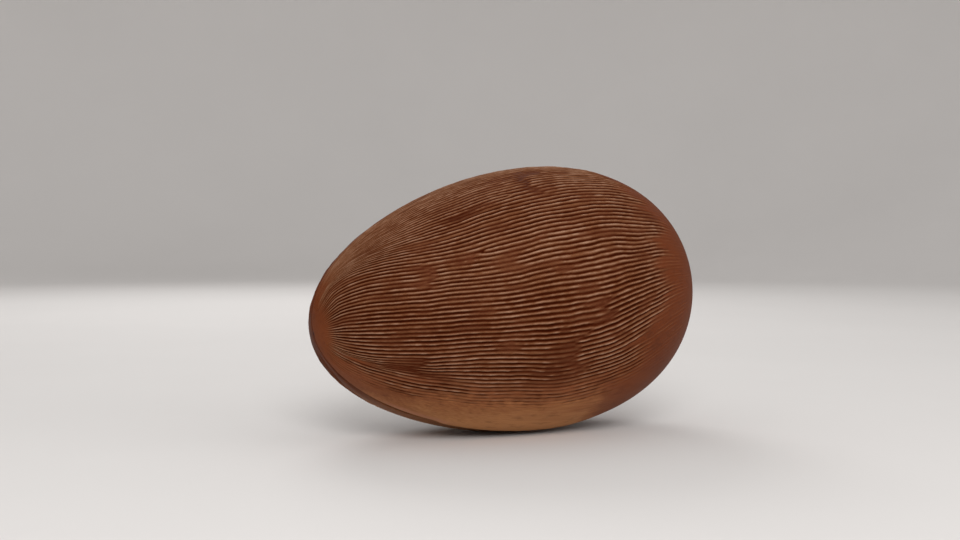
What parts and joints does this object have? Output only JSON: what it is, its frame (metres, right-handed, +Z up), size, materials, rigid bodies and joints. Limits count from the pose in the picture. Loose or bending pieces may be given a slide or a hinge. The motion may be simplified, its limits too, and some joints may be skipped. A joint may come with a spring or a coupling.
{
  "type": "chocolate egg",
  "caption": "Large chocolate egg lying on its side, combed lengthwise into fine ridges, with the joint line of its two half shells.",
  "frame": {"origin": "middle of the egg's footprint, on the surface that it rests on", "axes": "+X along the egg from its pointed end to its blunt end, +Z up, -Y the side where the joint line shows underneath"},
  "size_m": [0.2586, 0.168, 0.1684],
  "materials": {
    "chocolate": "satin"
  },
  "bodies": {
    "root": {"egg": "chocolate"}
  },
  "joints": []
}
